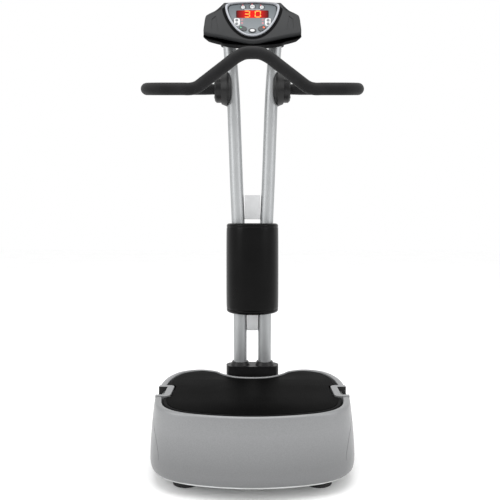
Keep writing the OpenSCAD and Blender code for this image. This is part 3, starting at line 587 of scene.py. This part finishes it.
foam_sleeve = loft("foam_sleeve", "root", swept(sleeve_path, end_round, 28), grip_foam, smooth=50)
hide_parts("handlebar_foam")
print("foam sleeve", len(sleeve_path), "rings; bar reaches x", round(BAR_X, 3))

# %% [markdown]
# ## Roller pad
# The shins rest on a roller of foam under glossy vinyl. The vinyl is stretched round the foam and sewn
# along its two end seams, so the body is very slightly crowned, the edges roll over softly and the skin
# puckers at the stitches. A lathe outline with small ripples near the seams shows that better than a cloth
# simulation of a tight cylinder.

# %% Glossy vinyl
glossy_vinyl, tree, shader = material("glossy_vinyl", 0.26, IOR=1.2)
place = mottle(tree, shader, "040404", "080808", speckle(30 * MM))
worn_roughness(tree, shader, place, 0.22, 0.3, speckle(50 * MM))
LEATHER_GRAIN = 2.2 * MM
cells = add(tree, "TexVoronoi", {"Scale": 1 / LEATHER_GRAIN}, Vector=place.outputs["Object"])
soft = add(tree, "TexNoise", {"Scale": speckle(35 * MM), "Detail": 1.0}, Vector=place.outputs["Object"])
both = add(tree, "Math", {"operation": "MULTIPLY_ADD", 1: 0.12},
           _0=cells.outputs["Distance"], _2=soft.outputs["Fac"])
relief(tree, shader, both.outputs["Value"], 0.6 * MM, 0.35)

# %% Roller skin
PAD_R = (pad_high.x - pad_low.x) / 2
PAD_H = pad_high.z - pad_low.z
AROUND = 144
# distance from the pad's end against distance inside its radius: the dip at 11 is the end seam
PAD_SECTION = [(0, -20), (0, -9), (1.2, -4.5), (4.5, -1.4), (9, -0.9), (11, -1.5), (13, -0.8), (22, -0.4),
               (60, -0.1)]


def pucker(angle, depth):
    """Small uneven folds that fade away from the end seams."""
    wave = math.sin(17 * angle) + 0.6 * math.sin(29 * angle + 1.3) + 0.4 * math.sin(7 * angle + 0.4)
    return 0.22 * MM * wave * math.exp(-abs(depth - 12) / 9)


half = [(p.x, p.y) for p in rounded(PAD_SECTION, 4)]
section = half + [(PAD_H / MM - z, g) for z, g in reversed(half)]
rings = []
for z, g in section:
    depth = min(z, PAD_H / MM - z)
    ring = []
    for k in range(AROUND):
        a = 2 * math.pi * k / AROUND
        r = PAD_R + g * MM + pucker(a, depth) - 0.3 * MM
        ring.append(Vector((r * math.cos(a), COLUMN_Y + r * math.sin(a), pad_low.z + z * MM)))
    rings.append(ring)
roller_skin = loft("roller_skin", "root", rings, glossy_vinyl, smooth=80)
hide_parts("roller_pad")
print("roller", round(2 * PAD_R, 3), "across,", round(PAD_H, 3), "long")

# %% [markdown]
# ## Console
# The console is two shells that clip together: a charcoal front and a black rear that shows as a lip
# underneath. Its face leans back, so everything is drawn flat in the face's own frame, x to the right, y up
# the face and z out of it, and then carried to its place. That keeps every number on the face as simple as
# on the moulder's drawing.

# %% The face's frame
LEAN = math.radians(18)
FACE_UP = Vector((0, math.sin(LEAN), math.cos(LEAN)))
FACE_OUT = Vector((0, -math.cos(LEAN), math.sin(LEAN)))
window_low, window_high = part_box("display_window")
WINDOW_Y = 21
FACE_CENTRE = (window_low + window_high) / 2 - FACE_UP * WINDOW_Y * MM + FACE_OUT * 2 * MM


def on_face(points):
    """Carries points of the flat drawing, in metres, to the console."""
    return [FACE_CENTRE + Vector((p[0], 0, 0)) + FACE_UP * p[1] + FACE_OUT * p[2] for p in points]


def ring_at(outline, z):
    """An outline in the face's plane, z millimetres out."""
    return [Vector((p.x, p.y, z * MM)) for p in outline]


def face_loft(name, rings, mat, smooth, closed=True):
    """A loft drawn flat and carried to the console; the last ring meets the first, or both are capped."""
    count = len(rings[0])
    verts = [v for ring in rings for v in ring]
    faces = loft_faces(count, len(rings), closed)
    if not closed:
        faces += cap(rings[0], 0) + cap(rings[-1], (len(rings) - 1) * count, True)
    return build(name, "root", on_face(verts), faces, mat, smooth)


def even(outline, count):
    """The same closed outline with evenly spaced points, the first one kept."""
    closed = outline + [outline[0]]
    lengths = [0.0]
    for a, b in zip(closed, closed[1:]):
        lengths.append(lengths[-1] + (b - a).length)
    spaced, k = [], 0
    for i in range(count):
        want = lengths[-1] * i / count
        while lengths[k + 1] < want:
            k += 1
        t = (want - lengths[k]) / (lengths[k + 1] - lengths[k])
        spaced.append(closed[k].lerp(closed[k + 1], t))
    return spaced


def scaled(outline, k, middle=0.0):
    return [Vector((p.x * k, middle + (p.y - middle) * k)) for p in outline]


# %% Outlines of the console
# right halves, in millimetres on the face, from the top middle down to the bottom middle
SHELL_HALF = [(0, 64), (40, 63), (72, 58), (86, 43), (100, 35), (124, 21), (130, 12), (133, -13), (134, -33),
              (129, -42), (90, -51), (45, -62), (0, -70)]
SHIELD_HALF = [(0, 60.5), (40, 58.5), (67, 54.5), (76, 47), (75, 30), (68, 8), (57, -14), (42, -34),
               (22, -49), (0, -54)]
BACK_HALF = [(0, 63), (40, 62), (71, 57), (85, 42), (99, 34), (122, 20), (128, 11), (132, -13), (134, -38),
             (130, -51), (92, -63), (78, -69), (40, -73), (0, -74)]
AROUND_FACE = 240
# reversed, the mirrored outline runs counter-clockwise from the bottom
shell = even(closed_curve(mirrored(SHELL_HALF[::-1]), 12), AROUND_FACE)
shield = even(closed_curve(mirrored(SHIELD_HALF[::-1]), 12), AROUND_FACE)
back = even(closed_curve(mirrored(BACK_HALF[::-1]), 12), AROUND_FACE)

# %% Charcoal ABS
charcoal_abs, tree, shader = material("charcoal_abs", 0.44, Specular_IOR_Level=0.18)
place = mottle(tree, shader, "262728", "2b2c2d", speckle(40 * MM))
worn_roughness(tree, shader, place, 0.4, 0.5, speckle(30 * MM))
grain = add(tree, "TexNoise", {"Scale": speckle(1.2 * MM), "Detail": 2.0}, Vector=place.outputs["Object"])
relief(tree, shader, grain.outputs["Fac"], 0.05 * MM, 0.3)

# %% Front shell: one skin from its rim to the shield-shaped opening
GROOVE_W = 8.0


def around_shield(d):
    """The shield's outline moved outward by d millimetres."""
    return even(grown(shield, d * MM), AROUND_FACE)


edge = [(-10, 0), (-6, 0), (-3, -0.4), (-1.2, -1.4), (-0.2, -3.2), (0, -5.5)]
rings = [ring_at(grown(shell, g * MM), z) for z, g in edge]
GROOVE_Z = -2.4
inner = [ring_at(around_shield(GROOVE_W - d), z) for d, z in ((0, 0.0), (0.5, -0.5), (0.7, GROOVE_Z))]
walls = [ring_at(around_shield(0.3), z) for z in (GROOVE_Z, -6)]
hidden = [ring_at(grown(shell, -4 * MM), -6), ring_at(grown(shell, -3 * MM), -10)]
face_edge = rings[-1]
blend_rings = [[p.lerp(q, t) for p, q in zip(face_edge, inner[0])] for t in (0.25, 0.5, 0.75)]


def kept_inside(ring):
    """Where the groove would cross the shell's own top edge, it stops just inside it."""
    top = max(p.y for p in face_edge) - 0.6 * MM
    return [Vector((p.x, min(p.y, top), p.z)) for p in ring]


front_rings = rings + [kept_inside(r) for r in blend_rings + inner] + walls + hidden
console_front = face_loft("console_front_shell", front_rings, charcoal_abs, 35)

# recess in the right wing, in millimetres on the face
WING = [(101, 15), (112, 4), (113, -26), (93, -31)]


def face_block(corners, low, high):
    """A cutting prism over corners in the face's plane."""
    made = prism([Vector(p) * MM for p in corners], low * MM, high * MM)
    for v in made.data.vertices:
        v.co = on_face([v.co])[0]
    return made


cut(console_front, [face_block([(s * x, y) for x, y in WING][::s], -1.2, 6) for s in (-1, 1)], 35)
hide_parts("console_front")

# %% Rear shell
# depth behind the face against how much of the rear outline is left there
BACK_SECTION = [(-52, 0.70), (-50.8, 0.74), (-48, 0.785), (-44, 0.82), (-37, 0.878), (-30, 0.93),
                (-20, 0.967), (-10.2, 1.0), (-10.2, 0.975), (-30, 0.9), (-42, 0.79), (-48.5, 0.69)]
rear_rings = [ring_at(scaled(back, k), z) for z, k in BACK_SECTION]
console_back = face_loft("console_rear_shell", rear_rings, matt_black, 50, closed=False)
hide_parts("console_back")
print("console face at", [round(v, 3) for v in FACE_CENTRE])

# %% [markdown]
# ## Bezel, panel and display
# A bright shield-shaped ring frames a membrane panel. The ring is plated plastic: it mirrors, but its
# plating is thin and slightly soft, so it takes a small roughness. The panel is printed film over a board,
# grey and lighter towards its foot. The display hides behind dark red acrylic. Besides its lit figures, the
# acrylic itself is given a painted glow, bright in its middle and dim at its ends.

# %% Bezel
plated, tree, shader = material("plated_bezel", 0.24, 0.8)
place = mottle(tree, shader, "787a7e", "808286", speckle(25 * MM))
worn_roughness(tree, shader, place, 0.2, 0.3, speckle(12 * MM))
SHIELD_MID = 20 * MM
BEZEL_K = 0.875
BEZEL_RISE = 3.0
bezel_rings = [ring_at(scaled(shield, k, SHIELD_MID), z)
               for k, z in [(0.994, -5), (0.994, 1.2), (0.99, 2.2), (0.978, 2.85), (0.962, BEZEL_RISE),
                            (BEZEL_K + 0.045, BEZEL_RISE - 0.1), (BEZEL_K + 0.03, BEZEL_RISE - 0.6),
                            (BEZEL_K + 0.012, 1.2), (BEZEL_K + 0.003, -0.6), (BEZEL_K, -5)]]
console_ring = face_loft("console_ring", bezel_rings, plated, 50)
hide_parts("console_bezel")

# %% Painted shade: a thin black sheet lying in the groove between shell and bezel
SHADE_SHEET_DEPTH = -1.7
SHADE_SHEET_T = 0.6
shade_sheet_outer = around_shield(GROOVE_W - 0.9)
shade_sheet_top = max(p.y for p in face_edge) - 1.2 * MM
shade_sheet_inner = [ring_at(scaled(shield, 0.997, SHIELD_MID), z) for z in (SHADE_SHEET_DEPTH, SHADE_SHEET_DEPTH - SHADE_SHEET_T)]
shade_sheet_rings = [[Vector((p.x, min(p.y, shade_sheet_top), p.z)) for p in ring_at(shade_sheet_outer, z)]
              for z in (SHADE_SHEET_DEPTH - SHADE_SHEET_T, SHADE_SHEET_DEPTH)]
console_shade_sheet = face_loft("console_shade_sheet", shade_sheet_rings + shade_sheet_inner, matt_black, 30)


# %% Dressing the machine's own pieces
def dress(mat, slot_name, *names, smooth=35):
    """Gives CAD pieces a finish and smooth shading; their shape and place stay as they are."""
    for name in names:
        mesh = NODES[name].data
        mesh.materials.clear()
        mesh.materials.append(mat)
        mesh.shade_smooth()
        mesh.set_sharp_from_angle(angle=math.radians(smooth))


def on_face_coords(tree):
    """Coordinates whose X runs across the console and Y up its face, from the panel's centre, in metres."""
    place = add(tree, "TexCoord")
    mapped = add(tree, "Mapping", {"vector_type": "TEXTURE"}, Vector=place.outputs["Object"])
    mapped.inputs["Location"].default_value = FACE_CENTRE
    mapped.inputs["Rotation"].default_value = (math.radians(90) - LEAN, 0, 0)
    return mapped


# %% Membrane panel
panel_film, tree, shader = material("printed_panel_film", 0.46, Specular_IOR_Level=0.2)
flat = on_face_coords(tree)
axes = add(tree, "SeparateXYZ", Vector=flat.outputs["Vector"])
shade = add(tree, "MapRange", {"From Min": -45 * MM, "From Max": 45 * MM}, Value=axes.outputs["Y"])
ramp = add(tree, "ValToRGB", Fac=shade.outputs["Result"])
ramp.color_ramp.elements[0].color = srgb("7c8184")
ramp.color_ramp.elements[1].color = srgb("585e62")
tree.links.new(ramp.outputs["Color"], shader.inputs["Base Color"])
film = add(tree, "TexNoise", {"Scale": speckle(0.8 * MM), "Detail": 1.0}, Vector=flat.outputs["Vector"])
relief(tree, shader, film.outputs["Fac"], 0.02 * MM, 0.3)
dress(panel_film, "panel_grey", "face_panel")

# %% Display window and lit figures
WINDOW_HALF = 45 * MM
acrylic, tree, shader = material("red_acrylic_window", 0.3, IOR=1.15)
flat = on_face_coords(tree)
axes = add(tree, "SeparateXYZ", Vector=flat.outputs["Vector"])
# painted light: the acrylic's colour and its own glow are bright in the middle and dim at the ends
aside = add(tree, "Math", {"operation": "ABSOLUTE"}, _0=axes.outputs["X"])
reach = add(tree, "MapRange", {"From Min": 12 * MM, "From Max": WINDOW_HALF}, Value=aside.outputs["Value"])
ramp = add(tree, "ValToRGB", Fac=reach.outputs["Result"])
ramp.color_ramp.elements[0].color = srgb("b40e06")
ramp.color_ramp.elements[1].color = srgb("300204")
tree.links.new(ramp.outputs["Color"], shader.inputs["Base Color"])
tree.links.new(ramp.outputs["Color"], shader.inputs["Emission Color"])
shader.inputs["Emission Strength"].default_value = 0.35
dress(acrylic, "window_red", "display_window")
led, tree, shader = material("lit_amber_segments", 0.3)
place = mottle(tree, shader, "e07010", "f08820", speckle(3 * MM))
mottle(tree, shader, "ff7a10", "ff9420", speckle(3 * MM), socket="Emission Color")
shader.inputs["Emission Strength"].default_value = 0.9
dress(led, "led_amber", "display_digits", smooth=20)
print("bezel, panel and display dressed")

# %% [markdown]
# ## Keys and printed marks
# Ten keys stand in the panel. The three at the top are pale caps, each ringed by a dark half-moon of print
# with a red dot above it. The four at the sides are small caps on a white printed pad. Start and stop are
# dark slanted caps with a green and an orange-red mark, and the mode key is a pale oval in a dark ring.
# Print is a film a tenth of a millimetre thick, so it is drawn as thin shapes just above the panel. All
# marks are plain bars, rings and dots.

# %% Key plastics and printing inks
def ink(name, dark, light, roughness=0.5, glow=0.0):
    """A printed or moulded colour with a slight wander in its shade; glow adds a painted glow."""
    made, tree, shader = material(name, roughness)
    mottle(tree, shader, dark, light, speckle(2 * MM))
    if glow:
        mottle(tree, shader, dark, light, speckle(2 * MM), socket="Emission Color")
        shader.inputs["Emission Strength"].default_value = glow
    return made


pale_key = ink("pale_key_caps", "b4b6b7", "bec0c1", 0.35)
grey_key = ink("grey_key_caps", "6a6e71", "74787b", 0.4)
dark_key = ink("dark_key_caps", "232527", "2b2d2f", 0.35)
white_ink = ink("white_print", "c4c5c6", "cecece")
dark_ink = ink("dark_print", "1c2022", "26292b")
# the red, green and orange prints are given a faint painted glow of their own
red_ink = ink("red_print", "d8303c", "e43c48", glow=0.25)
pink_ink = ink("pink_print", "c8707a", "d27a84")
green_ink = ink("green_print", "3cae74", "48ba80", glow=0.2)
orange_ink = ink("orange_print", "ee5a2c", "f86638", glow=0.25)
dress(pale_key, "key_grey", "key_top_left", "key_top_centre", "key_top_right")
dress(grey_key, "key_grey", "key_left_upper", "key_left_lower", "key_right_upper", "key_right_lower")
dress(dark_key, "key_dark", "key_start", "key_stop", "key_mode")

# %% Printed marks
PANEL_Z = -1.0
KEY_TOP_Z = 0.8
SLANT_TOP_Z = 0.6
INK_T = 0.08


def ellipse(cx, cy, rx, ry=None, first=0, last=360, count=40):
    """Points round an ellipse, or along part of it, in millimetres."""
    ry = ry or rx
    span = [math.radians(first + (last - first) * k / count) for k in range(count + (last - first < 360))]
    return [(cx + rx * math.cos(a), cy + ry * math.sin(a)) for a in span]


def half_moon(cx, cy, outer, inner, first, last):
    arcs = [ellipse(cx, cy, r, first=first, last=last) for r in (outer, inner)]
    return arcs[0] + arcs[1][::-1]


def pill(cx, cy, w, h, r):
    return [(cx + p.x, cy + p.y) for p in rounded_box((-w / 2, -h / 2), (w / 2, h / 2), r, 5)]


def printed(name, body, shapes, mat, z=PANEL_Z):
    """Flat ink shapes on a surface z millimetres from the face plane, joined into one piece."""
    verts, faces = [], []
    for shape in shapes:
        n, first = len(shape), len(verts)
        low = [Vector((x * MM, y * MM, (z + 0.02) * MM)) for x, y in shape]
        high = [v + Vector((0, 0, INK_T * MM)) for v in low]
        verts += low + high
        faces += loft_faces(n, 2, first=first) + cap(low, first) + cap(high, first + n, True)
    return build(name, body, on_face(verts), faces, mat, 30)


KEY_TOP = [(-26, 43, 5.5), (0, 45, 6.5), (26, 43, 5.5)]
KEY_PAD_X = 43
OVERPRINT_Z = PANEL_Z + 0.1
moons = [half_moon(x, y, r + 3.4, r + 0.7, -28, 208) for x, y, r in KEY_TOP]
printed("print_half_moons", "root", moons, dark_ink)
dots = [ellipse(x, y, 1.9, 1.0) for x, y in ((-27, 50.6), (-1, 53.7), (23, 50.6))]
printed("print_red_dots", "root", dots, red_ink, OVERPRINT_Z)
printed("print_key_pads", "root", [pill(s * KEY_PAD_X, -4.75, 17, 25, 6) for s in (-1, 1)], white_ink)
shadows = [pill(s * 51.2, -4.75, 1.6, 17, 0.8) for s in (-1, 1)]
printed("print_pad_shadow", "root", shadows, dark_ink, OVERPRINT_Z)
printed("print_level_bars", "root",
        [pill(s * 28.5, y, 5.5, 1.5, 0.7) for s in (-1, 1) for y in (4.5, 1.0, -6.5, -10.0)], pink_ink)
printed("print_mode_ring", "root", [ellipse(0, -33, 11.2, 8.0)], dark_ink)
printed("print_top_line", "root", [pill(0, 36.4, 44, 0.7, 0.3)], white_ink)

# %% Marks on the keys ride the keys
for name, (x, y, r) in zip(("left", "centre", "right"), KEY_TOP):
    moon = half_moon(x, y - 1.2, r * 0.5, r * 0.28, 0, 180)
    printed(f"mark_top_{name}", f"key_top_{name}", [moon], dark_ink, KEY_TOP_Z)
for side, word in ((-1, "left"), (1, "right")):
    for y, level, size in ((1, "upper", (0.9, 3.6)), (-10.5, "lower", (3.6, 0.9))):
        bar = pill(side * KEY_PAD_X, y, *size, 0.4)
        printed(f"mark_{word}_{level}", f"key_{word}_{level}", [bar], dark_ink, KEY_TOP_Z)
printed("mark_start", "key_start", [[(-33, -21.2), (-33, -26), (-28.6, -23.6)]], green_ink, SLANT_TOP_Z)
printed("mark_stop", "key_stop", [pill(31, -23.6, 4.6, 4.6, 1.4)], orange_ink, SLANT_TOP_Z)
printed("mark_mode", "key_mode", [ellipse(0, -33, 6.6, 3.9)], white_ink, SLANT_TOP_Z)
print("keys dressed and marked")

# %% [markdown]
# ## Metals and plastics of the frame and the drive
# The rest of the machine keeps the mechanical model's exact shapes and only needs finishes. Each one is
# what the real part would have: powder coat on the welded frames, zinc on plates and screws, cast aluminium
# on the motor, bronze in the bushes. Metals keep their default refraction and get their look from colour,
# roughness and fine relief.

# %% Powder coat, zinc, aluminium, bronze
powder, tree, shader = material("black_powder_coat", 0.55)
place = mottle(tree, shader, "1b1c1d", "222324", speckle(15 * MM))
peel = add(tree, "TexNoise", {"Scale": speckle(1.0 * MM), "Detail": 2.0}, Vector=place.outputs["Object"])
relief(tree, shader, peel.outputs["Fac"], 0.06 * MM, 0.5)
worn_roughness(tree, shader, place, 0.48, 0.62, speckle(20 * MM))

zinc, tree, shader = material("zinc_plated_steel", 0.35, 1.0)
place = mottle(tree, shader, "b4b6b4", "c6c8c8", speckle(9 * MM))
worn_roughness(tree, shader, place, 0.28, 0.45, speckle(6 * MM))

cast, tree, shader = material("cast_aluminium", 0.5, 1.0)
place = mottle(tree, shader, "a2a4a6", "b0b2b4", speckle(12 * MM))
sand = add(tree, "TexNoise", {"Scale": speckle(0.7 * MM), "Detail": 3.0}, Vector=place.outputs["Object"])
relief(tree, shader, sand.outputs["Fac"], 0.08 * MM, 0.5)
worn_roughness(tree, shader, place, 0.45, 0.6, speckle(10 * MM))

bronze, tree, shader = material("sintered_bronze", 0.42, 1.0)
place = mottle(tree, shader, "9a6a34", "ac7a40", speckle(4 * MM))
worn_roughness(tree, shader, place, 0.36, 0.5, speckle(3 * MM))

rubber, tree, shader = material("moulded_black_rubber", 0.72)
place = mottle(tree, shader, "101010", "171717", speckle(14 * MM))
worn_roughness(tree, shader, place, 0.65, 0.8, speckle(10 * MM))

# %% Circuit board and switch red
board_green, tree, shader = material("circuit_board", 0.4)
place = add(tree, "TexCoord")
greens = {"Color1": srgb("1d5c38"), "Color2": srgb("226640"), "Mortar": srgb("3c8a58")}
tracks = add(tree, "TexBrick", {"Scale": 1 / (12 * MM), "Mortar Size": 0.06, **greens},
             Vector=place.outputs["Object"])
tree.links.new(tracks.outputs["Color"], shader.inputs["Base Color"])
worn_roughness(tree, shader, place, 0.32, 0.5, speckle(5 * MM))
rocker_red = ink("red_rocker_plastic", "a81c16", "b4241c", 0.3, glow=0.1)

# %% Bright steel plate and tube, and a finish for every remaining piece
dress(powder, "frame_paint", "base_rails", "pivot_stands", "deck_frame", "column_foot", "motor_cradle",
      "neck_bracket")
dress(zinc, "zinc_steel", "base_plate", "foot_bolts", "casing_screws", "pivot_shaft", "rod_pin", "crankshaft",
      "motor_rotor", "strap_pins", "column_bolts", "housing_bolts", "deck_hangers")
dress(cast, "cast_aluminium", "motor", "crank_bearings", "connecting_rod", "driven_pulley")
dress(bronze, "bronze", "pivot_bushes")
dress(rubber, "deck_rubber", "foot_pads", "drive_belt")
bright_steel, tree, shader = material("bright_steel_plate", 0.4, 0.6)
place = mottle(tree, shader, "c0c1c2", "c8c9ca", speckle(20 * MM))
worn_roughness(tree, shader, place, 0.36, 0.44, speckle(15 * MM))
dress(bright_steel, "satin_tube", "upper_crossbar", "lower_crossbar", "handlebar_tube")
dress(black_abs, "black_plastic", "column_collar", "housing_inner_left", "housing_inner_right",
      "housing_outer_left", "housing_outer_right", "mains_inlet")
dress(silver_abs, "moulded_silver", "strap_anchors")
dress(board_green, "board_green", "console_board", "controller_box")
dress(rocker_red, "switch_red", "power_switch")

# %% Painted shade: the inner faces of the anchors' silver pockets are coloured black
POCKET_X = 222.9 * MM
POCKET_END = 13.9 * MM
POCKET_FLOOR = anchor_low.z + 5.9 * MM
anchors = NODES["strap_anchors"].data
anchors.materials.append(black_abs)
for face in anchors.polygons:
    c = face.center
    inside = anchor_low.y + POCKET_END < c.y < anchor_high.y - POCKET_END
    if abs(c.x) > POCKET_X and inside and c.z > POCKET_FLOOR:
        face.material_index = 1

# %% Is anything left bare?
bare = [o.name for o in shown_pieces() if not o.data.materials or o.data.materials[0] is None]
print("pieces without a finish:", bare)
